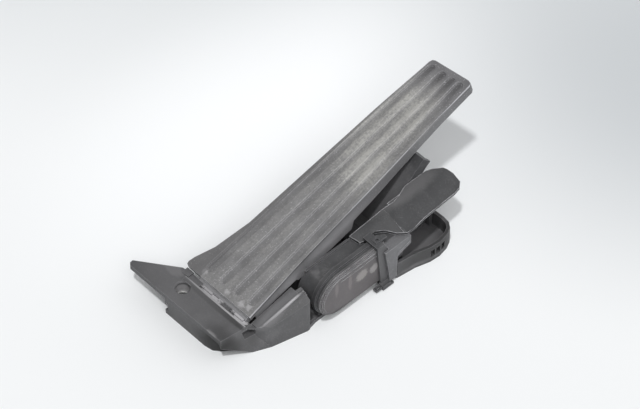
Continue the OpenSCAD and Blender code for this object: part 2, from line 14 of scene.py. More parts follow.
import bpy
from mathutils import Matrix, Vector


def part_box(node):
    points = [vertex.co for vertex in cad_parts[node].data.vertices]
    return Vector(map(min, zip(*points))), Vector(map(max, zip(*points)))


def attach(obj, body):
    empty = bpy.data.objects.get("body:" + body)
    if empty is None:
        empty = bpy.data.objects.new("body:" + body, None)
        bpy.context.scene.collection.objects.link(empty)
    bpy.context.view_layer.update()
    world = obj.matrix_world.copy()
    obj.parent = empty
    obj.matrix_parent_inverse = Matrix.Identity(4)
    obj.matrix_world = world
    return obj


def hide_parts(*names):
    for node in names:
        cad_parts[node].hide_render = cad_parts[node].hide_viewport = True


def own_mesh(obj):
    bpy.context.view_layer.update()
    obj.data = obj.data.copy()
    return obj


MM = 0.001
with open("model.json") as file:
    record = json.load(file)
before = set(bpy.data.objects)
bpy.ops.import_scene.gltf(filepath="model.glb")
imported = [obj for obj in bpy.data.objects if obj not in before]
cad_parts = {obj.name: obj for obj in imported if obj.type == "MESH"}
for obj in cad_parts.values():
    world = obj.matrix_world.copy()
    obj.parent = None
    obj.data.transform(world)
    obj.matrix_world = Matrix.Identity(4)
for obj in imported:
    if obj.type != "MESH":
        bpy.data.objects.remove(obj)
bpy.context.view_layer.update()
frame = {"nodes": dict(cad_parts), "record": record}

# %% [markdown]
# ## Camera
#
# The photograph was taken from the front right and from well above, with a long lens, so lines
# that are parallel on the pedal stay nearly parallel in the picture. A long lens far away gives
# the same picture. The camera could be placed by its coordinates, but two angles, a distance and
# a point that it looks at are easier to adjust one at a time, so they are the named values here.

# %% Camera
VIEW_AZIMUTH = math.radians(46.5)
VIEW_ELEVATION = math.radians(50.0)
VIEW_DISTANCE = 2.01156
LENS_MM = 168.75
SENSOR_MM = 36.0
TARGET = Vector((-0.02707, 0.11065, 0.0))
NEAREST_SEEN = 0.1
FARTHEST_SEEN = 20.0

backwards = Vector((
    math.sin(VIEW_AZIMUTH) * math.cos(VIEW_ELEVATION),
    -math.cos(VIEW_AZIMUTH) * math.cos(VIEW_ELEVATION),
    math.sin(VIEW_ELEVATION),
))
camera = bpy.data.objects.new("camera", bpy.data.cameras.new("camera"))
camera.data.sensor_width = SENSOR_MM
camera.data.lens = LENS_MM
camera.data.clip_start = NEAREST_SEEN
camera.data.clip_end = FARTHEST_SEEN
camera.location = TARGET + backwards * VIEW_DISTANCE
camera.rotation_mode = "QUATERNION"
camera.rotation_quaternion = (-backwards).to_track_quat("-Z", "Y")
bpy.context.scene.collection.objects.link(camera)
bpy.context.scene.camera = camera
bpy.context.scene.view_settings.view_transform = "Standard"
print("camera at", [round(c, 3) for c in camera.location])

# %% [markdown]
# ## Node helper
#
# A finish is a small graph of nodes. Writing each node and each link out in full hides what the
# graph does. So this helper adds one node, sets its inputs from numbers or from other nodes'
# outputs, and hands back an output. Sums, smooth steps and mixed colours are what the finishes
# use most, so each of them gets a short name.

# %% Node helper


class Graph:
    """A node tree, with short ways to add nodes to it."""

    def __init__(self, tree):
        self.tree = tree

    def node(self, kind, inputs=None, **settings):
        made = self.tree.nodes.new(kind)
        for key, value in settings.items():
            setattr(made, key, value)
        for key, value in (inputs or {}).items():
            self.set(made.inputs[key], value)
        return made

    def set(self, socket, value):
        if isinstance(value, bpy.types.NodeSocket):
            self.tree.links.new(value, socket)
        else:
            socket.default_value = value

    def math(self, operation, a, b=0.0, clamp=False):
        made = self.node("ShaderNodeMath", {0: a, 1: b}, operation=operation)
        made.use_clamp = clamp
        return made.outputs[0]

    def times(self, a, b):
        return self.math("MULTIPLY", a, b)

    def ramp(self, value, low, high, to_low=0.0, to_high=1.0):
        """Turns low to high of value into to_low to to_high, smoothly and without overshoot."""
        made = self.node(
            "ShaderNodeMapRange",
            {"Value": value, "From Min": low, "From Max": high, "To Min": to_low, "To Max": to_high},
            interpolation_type="SMOOTHSTEP",
        )
        return made.outputs["Result"]

    def mix(self, factor, a, b):
        made = self.node("ShaderNodeMix", data_type="RGBA")
        self.set(made.inputs[0], factor)
        self.set(made.inputs[6], a)
        self.set(made.inputs[7], b)
        return made.outputs[2]


print("node helper ready")

# %% [markdown]
# ## A finish
#
# Every surface here is one shader with patterns plugged into it. All patterns start from a
# point's place on the object, in metres, because then grain has the same size on every piece and
# a worn patch can be put down by its place in millimetres. Unwrapping each piece and painting it
# would also work, but the paint would be lost each time that a solid changes.

# %% A finish


class Finish(Graph):
    """A material with one shader, and the patterns that it is made of."""

    def __init__(self, name):
        self.material = bpy.data.materials.new(name)
        self.material.use_nodes = True
        super().__init__(self.material.node_tree)
        self.shader = self.tree.nodes["Principled BSDF"]
        self.place = self.node("ShaderNodeTexCoord").outputs["Object"]

    def give(self, **inputs):
        """Plugs patterns or values into the shader: base_color goes into Base Color."""
        for name, value in inputs.items():
            self.set(self.shader.inputs[name.replace("_", " ").title()], value)

    def noise(self, scale, detail=4.0, vector=None, roughness=0.5):
        made = self.node(
            "ShaderNodeTexNoise",
            {"Vector": vector or self.place, "Scale": scale, "Detail": detail, "Roughness": roughness},
        )
        return made.outputs["Fac"]

    def clouds(self, scale, detail, to_low=0.0, to_high=1.0):
        """Soft uneven areas. Nearly all of a noise lies between 0.3 and 0.7, so that is stretched."""
        return self.ramp(self.noise(scale, detail), 0.3, 0.7, to_low, to_high)

    def local(self, origin, turn=(0, 0, 0), size=(1, 1, 1)):
        """The place as seen from origin, turned back by turn and divided by size."""
        made = self.node("ShaderNodeMapping", {"Vector": self.place}, vector_type="TEXTURE")
        made.inputs["Location"].default_value = origin
        made.inputs["Rotation"].default_value = turn
        made.inputs["Scale"].default_value = size
        return made.outputs["Vector"]

    def patch(self, centre, size, turn=(0, 0, 0), soft=0.5, ragged=0.0, grain=200.0):
        """A mask that is 1 inside an ellipsoid and fades to 0 outside, with a ragged rim if asked."""
        vector = self.local([c * MM for c in centre], turn, [s * MM for s in size])
        length = self.node("ShaderNodeVectorMath", {0: vector}, operation="LENGTH").outputs["Value"]
        if ragged:
            stray = self.math("SUBTRACT", self.noise(grain, 6.0), 0.5)
            length = self.math("ADD", length, self.times(stray, ragged))
        return self.ramp(length, 1.0 + soft * 0.5, 1.0 - soft * 0.5)

    def bump(self, height, depth, below=None):
        made = self.node("ShaderNodeBump", {"Strength": 1.0, "Distance": depth, "Height": height})
        if below is not None:
            self.set(made.inputs["Normal"], below)
        return made.outputs["Normal"]


print("finish helper ready")

# %% [markdown]
# ## Greys, scratches and rubbed, highlit edges
#
# Nearly all colours of the pedal are greys with a faint violet cast. A scratch could be drawn one
# by one, but the borders between long stretched cells already look like many crossing scratches,
# and a second pattern breaks them up. Edges are where plastic is touched first, and the paler
# colour on them is also a painted highlight, the light that a rounded edge catches. To find them,
# the normal of an imagined rounded edge is compared with the true normal: they differ only at edges.

# %% Greys, scratches and rubbed, highlit edges
GREEN_IN_GREY = 0.985
BLUE_IN_GREY = 1.015
WEAR_AND_HIGHLIGHT_WIDTH = 0.0006
# Dot product of the two normals: at the first an edge begins to show, at the second it is full
EDGE_BEGINS = 0.985
EDGE_FULL = 0.88


def grey(value, warm=0.0):
    """A grey with a faint violet cast; warm above 0 makes it yellower, below 0 bluer."""
    return (value * (1 + warm), value * GREEN_IN_GREY, value * (BLUE_IN_GREY - warm), 1.0)


def scratches(finish, stretch, turn, scale, thin):
    """Thin lines: the borders of long stretched cells."""
    cells = finish.node(
        "ShaderNodeTexVoronoi",
        {"Vector": finish.local((0, 0, 0), turn, stretch), "Scale": scale, "Randomness": 1.0},
        feature="DISTANCE_TO_EDGE",
    )
    line = finish.ramp(cells.outputs["Distance"], thin, 0.0)
    broken = finish.ramp(finish.noise(90.0, 2.0), 0.5, 0.66)
    return finish.times(line, broken)


def edge_mask(finish, radius=WEAR_AND_HIGHLIGHT_WIDTH):
    """1 on edges, where the normal of a rounded edge would differ from the flat one."""
    rounded = finish.node("ShaderNodeBevel", {"Radius": radius}, samples=6).outputs["Normal"]
    true_normal = finish.node("ShaderNodeNewGeometry").outputs["Normal"]
    agree = finish.node("ShaderNodeVectorMath", {0: rounded, 1: true_normal}, operation="DOT_PRODUCT")
    return finish.ramp(agree.outputs["Value"], EDGE_BEGINS, EDGE_FULL)


print("a middle grey is", [round(c, 3) for c in grey(0.2)])

# %% [markdown]
# ## Moulded plastic
#
# Every housing on the pedal is glass-filled nylon: dark, a little mottled, with a fine eroded
# grain from the mould. Use has scuffed it, so thin scratches in all directions and a faint dust
# lighten it, and the outer edges are rubbed paler and carry a painted highlight. One function
# makes this finish, and each piece asks for its own shade, gloss, worn places and painted light
# and shade.

# %% Moulded plastic
# Depths in metres
MOULD_GRAIN = 0.00006
SCRATCH_DEPTH = 0.00003
# How clearly the scratches show
SCUFFED = 0.3


def mottled(finish, shade, warm):
    """Cloudy dark plastic with specks of dust."""
    clouds = finish.math("ADD", finish.noise(60.0, 6.0), finish.noise(17.0, 3.0))
    colour = finish.mix(
        finish.ramp(clouds, 0.75, 1.25), grey(shade * 0.8, warm), grey(shade * 1.2, warm))
    dust = finish.ramp(finish.noise(900.0, 3.0), 0.52, 0.8)
    return finish.mix(finish.times(dust, 0.3), colour, grey(shade * 2.2 + 0.05))


def moulded(name, shade, warm=0.0, gloss=0.5, edge=0.35, rim=0.2, marks=()):
    """Dark moulded plastic. rim: paleness of worn edges and painted highlight; edge: how strongly."""
    finish = Finish(name)
    lines = finish.math(
        "MAXIMUM",
        scratches(finish, stretch=(1.0, 0.12, 1.0), turn=(0.3, 0.2, 0.9), scale=260.0, thin=0.03),
        scratches(finish, stretch=(1.0, 0.1, 1.0), turn=(0.1, 0.5, -0.6), scale=200.0, thin=0.02),
    )
    colour = finish.mix(finish.times(lines, SCUFFED), mottled(finish, shade, warm), grey(shade + 0.2))
    for where, tone, amount in marks:
        colour = finish.mix(finish.times(finish.patch(**where), amount), colour, tone)
    # Paler edges: partly wear, partly a painted highlight for the light that a rounded edge catches
    uneven = finish.ramp(finish.noise(140.0, 4.0), 0.25, 0.5)
    rubbed_and_highlit = finish.times(edge_mask(finish), uneven)
    colour = finish.mix(finish.times(rubbed_and_highlit, edge), colour, grey(shade * 1.5 + rim, -0.01))
    rough = finish.clouds(35.0, 5.0, 0.62 - 0.3 * gloss, 0.78 - 0.3 * gloss)
    relief = finish.bump(finish.noise(2600.0, 2.0), MOULD_GRAIN)
    relief = finish.bump(finish.times(lines, -1.0), SCRATCH_DEPTH, relief)
    finish.give(base_color=colour, roughness=rough, normal=relief)
    return finish.material


print("moulded plastic ready")

# %% [markdown]
# ## Where the treadle is worn
#
# Years of shoes have worn the middle of the treadle pale, in streaks along its length, while the
# tip, the left side and the deep ends of the grooves kept the dark grain of the mould. The wear is
# worked out in the treadle's own directions: across, along and out of its face, in metres from
# the middle of its lower end. So the mask can ask how far along a point lies, and whether it is on
# a land or down in a groove. Several soft steps are multiplied, because each one says in one line
# why a place is worn or not.

# %% Where the treadle is worn
PAD_SLOPE = math.radians(17.0)
# Height of the face above the origin, in millimetres
PAD_FACE_Z = 22.0
# Places along the treadle, in metres
WEAR_BEGINS = (0.075, 0.135)
WEAR_ENDS = (0.212, 0.178)
LOW_WEAR_ENDS = (0.2, 0.15)
DULL_MIDDLE_AT = 0.1
DULL_MIDDLE_REACH = 0.03
# Places across it and out of it, in metres
LEFT_SIDE = (-0.019, -0.003)
RIGHT_SIDE = (0.031, 0.024)
GROOVE_TO_LAND = (-0.0011, -0.0003)
# Shares
LOW_WEAR = 0.28
RIGHT_SLANT = 0.09


def treadle_place(finish, stretch=(1.0, 1.0, 1.0)):
    return finish.local((0, 0, PAD_FACE_Z * MM), (PAD_SLOPE, 0, 0), stretch)


def where_worn(finish, across, along, out):
    """How much the shoes rub each place, from 0 to 1."""
    upper = finish.times(finish.ramp(along, *WEAR_BEGINS), finish.ramp(along, *WEAR_ENDS))
    upper = finish.times(upper, finish.ramp(across, *LEFT_SIDE, 0.5, 1.0))
    lower = finish.times(finish.ramp(along, *LOW_WEAR_ENDS), LOW_WEAR)
    slanted = finish.math("ADD", across, finish.times(along, RIGHT_SLANT))
    right = finish.math("ADD", finish.times(finish.ramp(slanted, *RIGHT_SIDE), 0.7), 0.3)
    worn = finish.times(finish.math("ADD", upper, lower), right)
    worn = finish.times(worn, finish.ramp(out, *GROOVE_TO_LAND, 0.45, 1.0))
    from_middle = finish.math("ABSOLUTE", finish.math("SUBTRACT", along, DULL_MIDDLE_AT))
    return finish.times(worn, finish.ramp(from_middle, DULL_MIDDLE_REACH, 0.0, 1.0, 0.75))


def uneven_wear(finish, streaks):
    """Streaks along the treadle, clouds and specks, around 1."""
    clouds = finish.clouds(38.0, 5.0, -0.3, 0.2)
    uneven = finish.math("ADD", finish.ramp(streaks, 0.3, 0.7, 0.62, 1.05), clouds)
    specks = finish.noise(620.0, 5.0, roughness=0.7)
    return finish.times(uneven, finish.ramp(specks, 0.38, 0.62, 0.62, 1.28))


print("wear from", round(WEAR_BEGINS[0] / MM), "to", round(WEAR_ENDS[0] / MM), "mm along the treadle")

# %% [markdown]
# ## Sides and rims of the treadle
#
# The skirt below the face was never rubbed. It is painted paler low down near its lower end:
# painted light, which lifts it out of the shade that the parts beside it cast. The rim between
# face and skirt is a thin painted highlight at the right, which faces the light, and painted shade
# at the left, which faces away. The two sides draw together towards the tip, so a line along them
# is a distance across plus a small share of the distance along.

# %% Sides and rims of the treadle
# Half the width of the face at its lower end, in millimetres, and how steeply each side draws in
PAD_HALF_LOW = 24.2
PAD_TAPER = 0.0279
# Distances in from the edge of the face, in millimetres
BRIGHT_LINE_INSET = 0.3
SHADED_RIM_BEGINS = 1.6
SHADED_RIM_FULL = 0.8
# Metres: width of the rubbed and painted highlit rim, depths below the face and places along it
RIM_WIDTH = 0.0005
SKIRT_TOP = (-0.0016, -0.0026)
SKIRT_LIGHT_DEPTH = (-0.002, -0.01)
PALE_SKIRT_UNTIL = (0.04, 0.14)


# Painted light: the skirt is made paler low down near its lower end, out of the shade beside it
def skirt(finish, colour, along, out):
    painted_light_low = finish.mix(finish.ramp(out, *SKIRT_LIGHT_DEPTH), grey(0.36, -0.01), grey(0.66, -0.01))
    side = finish.mix(finish.ramp(along, *PALE_SKIRT_UNTIL), painted_light_low, grey(0.14, -0.01))
    return finish.mix(finish.ramp(out, *SKIRT_TOP, 0.0, 0.9), colour, side)


def rim_highlights(finish, colour, across, along, out):
    """Worn, painted highlit edges all round, and a painted highlight line along the right side."""
    broken = finish.ramp(finish.noise(120.0, 3.0), 0.28, 0.5, 0.35, 1.0)
    colour = finish.mix(finish.times(edge_mask(finish, RIM_WIDTH), broken), colour, grey(0.55, -0.02))
    from_side = finish.math("ADD", across, finish.times(along, PAD_TAPER))
    line_at = (PAD_HALF_LOW - BRIGHT_LINE_INSET) * MM
    from_line = finish.math("ABSOLUTE", finish.math("SUBTRACT", from_side, line_at))
    # A painted highlight: the thin bright line along the right edge of the face
    line = finish.times(finish.ramp(from_line, 0.0006, 0.0003), finish.ramp(out, -0.001, -0.0006))
    return finish.mix(finish.times(line, 0.65), colour, grey(0.6, -0.02))


# Painted shade on the left rim of the face, which faces away from the light
def shaded_left_rim(finish, colour, across, along):
    from_side = finish.math("SUBTRACT", across, finish.times(along, PAD_TAPER))
    begins = (SHADED_RIM_BEGINS - PAD_HALF_LOW) * MM
    full = (SHADED_RIM_FULL - PAD_HALF_LOW) * MM
    painted_shade = finish.ramp(from_side, begins, full, 0.0, 0.6)
    return finish.mix(painted_shade, colour, grey(0.09))


print("half width of the treadle:", PAD_HALF_LOW, "mm at its lower end")

# %% [markdown]
# ## The treadle's finish
#
# Now the layers go on: the dark moulded grain, the worn tone over it, dirt left in the ends of the
# grooves, painted light on the skirt, painted highlights where the grooves end and on the rims,
# then dark score marks, pale specks, painted shade on the left rim and fine scratches. Worn plastic
# is also a little smoother, so the wear goes into the roughness as well as into the colour.

# %% The treadle's finish
WORN_TONE = (0.396, 0.391, 0.374, 1.0)
# Places and size of the painted highlights where the grooves end, in millimetres
GROOVE_END_GLINTS = [(-23.4, 4.4, 23.3), (-0.9, 3.3, 23.0), (12.5, 3.2, 23.0), (18.2, 4.9, 23.5)]
GLINT_SIZE = (1.9, 2.3, 2.0)
# Depth of a groove below the face, and where the dirt in its end begins and is full, in metres
GROOVE_DEPTH = (-0.0004, -0.0009)
GROOVE_END = (0.19, 0.206)
# Depths of the reliefs, in metres
TREADLE_GRAIN = 0.00005
TREADLE_SCRATCHES = 0.00004
STREAK_STRETCH = (1.0, 9.0, 1.0)


def treadle():
    finish = Finish("pad_plastic")
    across, along, out = finish.node("ShaderNodeSeparateXYZ", {0: treadle_place(finish)}).outputs[:3]
    streaks = finish.noise(420.0, 5.0, treadle_place(finish, STREAK_STRETCH), 0.6)
    worn = finish.math(
        "MULTIPLY", where_worn(finish, across, along, out), uneven_wear(finish, streaks), clamp=True)
    colour = finish.mix(finish.clouds(70.0, 5.0), grey(0.132, -0.01), grey(0.175, -0.01))
    colour = finish.mix(worn, colour, WORN_TONE)
    dirt = finish.times(finish.ramp(out, *GROOVE_DEPTH), finish.ramp(along, *GROOVE_END, 0.0, 0.6))
    colour = finish.mix(dirt, colour, grey(0.06))
    colour = skirt(finish, colour, along, out)
    # Painted highlights: glints at the lower ends of the grooves
    for centre in GROOVE_END_GLINTS:
        glint = finish.patch(centre, GLINT_SIZE, soft=1.0, ragged=2.6, grain=500.0)
        colour = finish.mix(finish.times(glint, 0.65), colour, grey(0.42))
    colour = rim_highlights(finish, colour, across, along, out)
    scores = scratches(finish, stretch=(1.0, 0.07, 1.0), turn=(0.0, 0.0, 0.02), scale=190.0, thin=0.06)
    colour = finish.mix(finish.times(scores, 0.5), colour, grey(0.13))
    specks = finish.ramp(finish.noise(1300.0, 1.0), 0.66, 0.74)
    colour = finish.mix(finish.times(specks, 0.55), colour, grey(0.6))
    colour = shaded_left_rim(finish, colour, across, along)
    fine = finish.math(
        "MAXIMUM",
        scratches(finish, stretch=(1.0, 0.08, 1.0), turn=(0.0, 0.0, 0.1), scale=230.0, thin=0.025),
        scratches(finish, stretch=(0.1, 1.0, 1.0), turn=(0.2, 0.0, 0.5), scale=240.0, thin=0.02),
    )
    shown = finish.times(fine, finish.ramp(worn, 0.0, 0.6, 0.15, 0.5))
    colour = finish.mix(shown, colour, grey(0.42, 0.02))
    rough = finish.math(
        "ADD", finish.ramp(worn, 0.0, 0.8, 0.5, 0.4), finish.clouds(50.0, 4.0, -0.05, 0.07))
    relief = finish.bump(finish.noise(2400.0, 2.0), TREADLE_GRAIN)
    relief = finish.bump(finish.times(fine, -1.0), TREADLE_SCRATCHES, relief)
    relief = finish.bump(streaks, TREADLE_GRAIN, relief)
    finish.give(base_color=colour, roughness=rough, normal=relief)
    return finish.material


slots = {"pad_plastic": treadle()}
print("nodes in the treadle's finish:", len(slots["pad_plastic"].node_tree.nodes))

# %% [markdown]
# ## Marks on the base
#
# The photograph shows where the base has been rubbed, polished or dirtied. Other marks are painted
# light, painted shade and painted highlights. A mark is a soft ellipsoid at a place in millimetres,
# with a tone and an amount. Ellipsoids are simple, but with a ragged rim they read as scuffs and
# dust, and being solid they can't slip off a face.

# %% Marks on the base


def mark(centre, size, tone, amount, **rim):
    """A place that differs; rim may turn it, soften its rim or make it ragged."""
    return (dict(centre=centre, size=size, **rim), tone, amount)


BASE_MARKS = [
    # Rubbed spot on the front edge of the heel plate
    mark((15.9, -25.2, 19.8), (3.8, 1.2, 1.2), grey(0.34), 0.7, soft=0.9, ragged=1.4),
    # Painted light on the wall of the fixing hole, above the steel sleeve, lifting it out of its shade
    mark((-25.3, -13.7, 14.0), (6.5, 6.5, 5.0), grey(0.42), 0.85, soft=0.3),
    # Scuffed patch on the wing, beside the channel
    mark((-41.0, -7.5, 20.0), (8.0, 4.0, 2.0), grey(0.22), 0.5, ragged=0.9),
    # Two stretches of the channel, polished by the treadle's hinge, their shine a painted highlight
    mark((-8.5, -3.0, 18.0), (9.5, 4.0, 3.0), grey(0.5), 0.8, ragged=1.8, grain=420.0),
    mark((18.5, -3.0, 18.0), (7.5, 4.0, 3.0), grey(0.55), 0.8, ragged=1.8, grain=420.0),
    # Painted shade in front of the channel's lip, on the face that turns away from the light
    mark((0.0, -8.7, 20.2), (31.0, 1.8, 1.8), grey(0.03), 0.8, soft=0.6),
    # Rubbed crest of the lip, with a painted highlight
    mark((0.0, -6.5, 21.0), (30.0, 0.7, 0.9), grey(0.45), 0.8, soft=0.5, ragged=0.3),
    # Painted highlight on the rubbed bead of the side wall
    mark((36.5, 17.0, 27.6), (1.3, 18.0, 1.3), grey(0.5), 0.8, turn=(0.4, 0.0, -0.15), ragged=0.4),
    # Painted shade low on the front skirt, turned from the light, and on the facet at its right
    mark((21.0, -21.5, 8.0), (21.0, 8.0, 13.0), grey(0.012), 0.95, soft=0.9),
    mark((32.0, -12.0, 11.0), (8.0, 12.0, 8.0), grey(0.05), 0.5, soft=0.9),
    # Paler, drier plastic in the middle of the heel plate
    mark((-26.0, -15.0, 20.0), (38.0, 16.0, 2.5), grey(0.125, -0.01), 0.5, soft=0.9),
    # Painted shade on the tray's outer wall, which faces away from the light
    mark((58.0, 138.0, 7.0), (10.0, 38.0, 14.0), grey(0.03), 0.9, soft=0.9),
    # Painted light on the tray's floor, with a ragged rim, lifting it out of the tray's shade
    mark((46.0, 128.0, 3.0), (13.0, 24.0, 2.5), grey(0.17), 0.6, soft=0.9, ragged=0.8),
    # Painted light on the ledge beside the treadle
    mark((33.0, 16.0, 24.0), (5.0, 20.0, 8.0), grey(0.2, -0.01), 0.6, soft=0.9),
]
print("marks on the base:", len(BASE_MARKS))

# %% [markdown]
# ## Marks on lever, housing, cover and shield
#
# Dust lies on all that is open beside the treadle, and the same mark is painted light there, which
# lifts those parts out of the treadle's shade. The face of the sensor's cover has a faint reddish
# cast, two pale patches, faint smears and painted shade along its lower rim, and the shield's flat
# strip has a painted sheen. All of them are marks again, so that they sit on the solids by their
# places. With its marks listed, each moulded plastic can be made.

# %% Marks on lever, housing, cover and shield
# Dust beside the treadle, and painted light that lifts those parts out of its shade
DUST_AND_LIGHT_BESIDE = dict(centre=(18.0, 118.0, 34.0), size=(16.0, 34.0, 22.0), soft=0.9, ragged=0.8)
LEVER_MARKS = [
    mark(**DUST_AND_LIGHT_BESIDE, tone=grey(0.16), amount=0.45),
    # The clip band is of the same plastic as the lever, but handled and paler
    mark((52.0, 93.0, 22.0), (3.0, 8.0, 26.0), grey(0.1, -0.01), 0.7, soft=0.4),
]
HOUSING_MARKS = [
    mark(**DUST_AND_LIGHT_BESIDE, tone=grey(0.16), amount=0.3),
    # Smudged dust on the deck's front end
    mark((35.0, 50.0, 41.0), (5.0, 9.0, 5.0), grey(0.17), 0.7, soft=0.9, ragged=1.6, grain=260.0),
    mark((39.0, 42.0, 40.0), (6.0, 9.0, 6.0), grey(0.1), 0.6, soft=0.9),
]
FAINT_SMEAR = (0.24, 0.212, 0.215, 1.0)
COVER_MARKS = [
    # The face has a faint reddish cast
    mark((51.0, 66.0, 20.0), (3.0, 30.0, 18.0), (0.107, 0.094, 0.098, 1.0), 0.6, soft=0.8),
    # Painted shade along the lower rim, out of the light
    mark((49.0, 64.0, 2.5), (6.0, 32.0, 5.0), grey(0.03), 0.85, turn=(-0.16, 0.0, 0.0), soft=0.6),
    # Two pale worn patches
    mark((50.7, 74.5, 25.8), (2.0, 5.0, 4.6), (0.36, 0.342, 0.33, 1.0), 0.55, ragged=1.5, grain=900.0),
    mark((50.7, 85.3, 24.0), (2.0, 3.9, 3.7), (0.36, 0.35, 0.345, 1.0), 0.6, ragged=1.5, grain=900.0),
    # Faint upright smears nearer the front end
    mark((50.7, 52.0, 30.0), (2.0, 1.6, 7.0), FAINT_SMEAR, 0.4, ragged=1.8, grain=900.0),
    mark((50.7, 64.0, 27.0), (2.0, 1.5, 7.0), FAINT_SMEAR, 0.4, ragged=1.8, grain=900.0),
]
SHIELD_MARKS = [
    # Painted sheen on the flat strip beside the treadle
    mark((30.0, 136.0, 43.5), (6.0, 26.0, 4.0), grey(0.12), 0.7, soft=0.9, ragged=0.5),
]
slots.update({
    "base_plastic": moulded("base_plastic", 0.09, -0.01, gloss=0.45, rim=0.22, marks=BASE_MARKS),
    "lever_plastic": moulded("lever_plastic", 0.052, -0.03, edge=0.5, marks=LEVER_MARKS),
    "housing_plastic": moulded("housing_plastic", 0.055, -0.02, edge=0.6, marks=HOUSING_MARKS),
    "cover_plastic": moulded("cover_plastic", 0.085, gloss=0.4, edge=1.0, rim=0.55, marks=COVER_MARKS),
    "connector_plastic": moulded("connector_plastic", 0.125, -0.02, gloss=0.35, edge=0.6),
    "shield_plastic": moulded("shield_plastic", 0.04, -0.03, edge=1.0, rim=0.65, marks=SHIELD_MARKS),
})
print("plastic finishes:", len(slots))

# %% [markdown]
# ## Metal, rubber and small parts
#
# The rest is simple: zinc-plated screws and sleeve, spring wire, black rubber, pale sliding
# plastic, a lacquered board, chips and plated pins. Each gets a noise in colour and roughness,
# because no real surface is one even value.

# %% Metal, rubber and small parts
# Depth in metres
FINE_RELIEF = 0.00004
# How far the lightest and darkest places stray from the colour
TONE_SPREAD = 0.15


def plain(name, colour, rough, metal=0.0):
    """A finish of one colour, lighter and darker in clouds, with a fine relief."""
    finish = Finish(name)
    tone = finish.clouds(80.0, 5.0)
    darker = tuple(c * (1 - TONE_SPREAD) for c in colour) + (1.0,)
    lighter = tuple(min(1.0, c * (1 + TONE_SPREAD)) for c in colour) + (1.0,)
    finish.give(
        base_color=finish.mix(tone, darker, lighter),
        roughness=finish.ramp(tone, 0.0, 1.0, rough - 0.06, rough + 0.08),
        metallic=metal,
        normal=finish.bump(finish.noise(1500.0, 3.0), FINE_RELIEF),
    )
    return finish.material


slots.update({
    "pale_plastic": plain("pale_plastic", (0.55, 0.53, 0.48), 0.45),
    "black_rubber": plain("black_rubber", (0.025, 0.025, 0.026), 0.75),
    "seal_rubber": plain("seal_rubber", (0.3, 0.12, 0.05), 0.6),
    "steel": plain("steel", (0.72, 0.72, 0.71), 0.48, 1.0),
    "spring_steel": plain("spring_steel", (0.42, 0.42, 0.43), 0.32, 1.0),
    "magnet": plain("magnet", (0.14, 0.14, 0.15), 0.5, 0.6),
    "board": plain("board", (0.03, 0.16, 0.07), 0.3),
    "chip_black": plain("chip_black", (0.02, 0.02, 0.02), 0.5),
    "brass_pins": plain("brass_pins", (0.72, 0.55, 0.26), 0.3, 1.0),
})
print("finishes:", len(slots))

# %% [markdown]
# ## Rounded edges
#
# A mould's edges are never razor sharp, and the thin bright line along a rounded edge is what
# tells the eye that a dark piece is solid. The solids come in as triangles with split corners, so
# each gets four modifiers: weld the corners, merge the flat triangles, bevel what is left, and
# let the large faces decide the normals, so that they look flat right up to their rounded rims.
# A modifier leaves the solid's own mesh as it was.

# %% Rounded edges
EDGE_MM = {
    "pad": 0.35, "base": 0.45, "cable_shield": 0.4, "sensor_housing": 0.45,
    "sensor_cover": 0.3, "connector_shell": 0.5, "clip_band": 0.3, "lever": 0.5,
}
DEFAULT_EDGE_MM = 0.15
# Corners nearer than this, in metres, are one corner
WELD_REACH = 0.000002
FLAT = math.radians(0.6)
SHARP = math.radians(32)
EDGE_SEGMENTS = 3
LARGE_FACE_WEIGHT = 60


def round_edges(piece, width):
    weld = piece.modifiers.new("weld", "WELD")
    weld.merge_threshold = WELD_REACH
    merge = piece.modifiers.new("merge_flat", "DECIMATE")
    merge.decimate_type = "DISSOLVE"
    merge.angle_limit = FLAT
    bevel = piece.modifiers.new("bevel", "BEVEL")
    bevel.width = width
    bevel.segments = EDGE_SEGMENTS
    bevel.limit_method = "ANGLE"
    bevel.angle_limit = SHARP
    bevel.miter_outer = "MITER_ARC"
    level = piece.modifiers.new("level_normals", "WEIGHTED_NORMAL")
    level.mode = "FACE_AREA"
    level.weight = LARGE_FACE_WEIGHT


slot_of = {row["node"]: row["material_slot"] for row in frame["record"]["subparts"]}
for node, piece in frame["nodes"].items():
    piece.data.materials.clear()
    piece.data.materials.append(slots[slot_of[node]])
    round_edges(piece, EDGE_MM.get(node, DEFAULT_EDGE_MM) * MM)
print("rounded:", len(frame["nodes"]))

# %% [markdown]
# ## Path of a coil spring
#
# The solids of the springs are coarse coils. A spring is seen through the gap under the treadle,
# so it is wound again from round wire. Its end turns lie flat, as on a spring that is ground to
# stand straight: there the path hardly rises, and between them it rises evenly.

# %% Path of a coil spring
STEPS_A_TURN = 32
FLAT_TURNS = 1.0


def rise_at(turn, turns):
    """How far up the spring the wire is after so many turns, from 0 to 1."""
    share = (turn - FLAT_TURNS * 0.5) / (turns - FLAT_TURNS)
    rise = min(max(share, 0.0), 1.0)
    if turn < FLAT_TURNS:
        rise = rise * min(1.0, turn / FLAT_TURNS)
    if turns - turn < FLAT_TURNS:
        rise = 1 - (1 - rise) * min(1.0, (turns - turn) / FLAT_TURNS)
    return rise


def coil_path(centre, radius, wire, low, high, turns):
    """Points along the middle of the wire, with the direction away from the axis, in millimetres."""
    path = []
    for i in range(int(turns * STEPS_A_TURN) + 1):
        angle = 2 * math.pi * i / STEPS_A_TURN
        outward = Vector((math.cos(angle), math.sin(angle), 0))
        z = low + wire + (high - low - 2 * wire) * rise_at(i / STEPS_A_TURN, turns)
        path.append((Vector((centre[0], centre[1], z)) + outward * radius, outward))
    return path


print("rise at the middle of a spring:", rise_at(3.5, 7.0))

# %% [markdown]
# ## Wire
#
# The wire is a ring of points carried along the path, joined ring to ring, with a flat face on
# each end. A curve with a round bevel would do the same, but the mesh keeps every ring upright,
# so that the end turns stay flat.

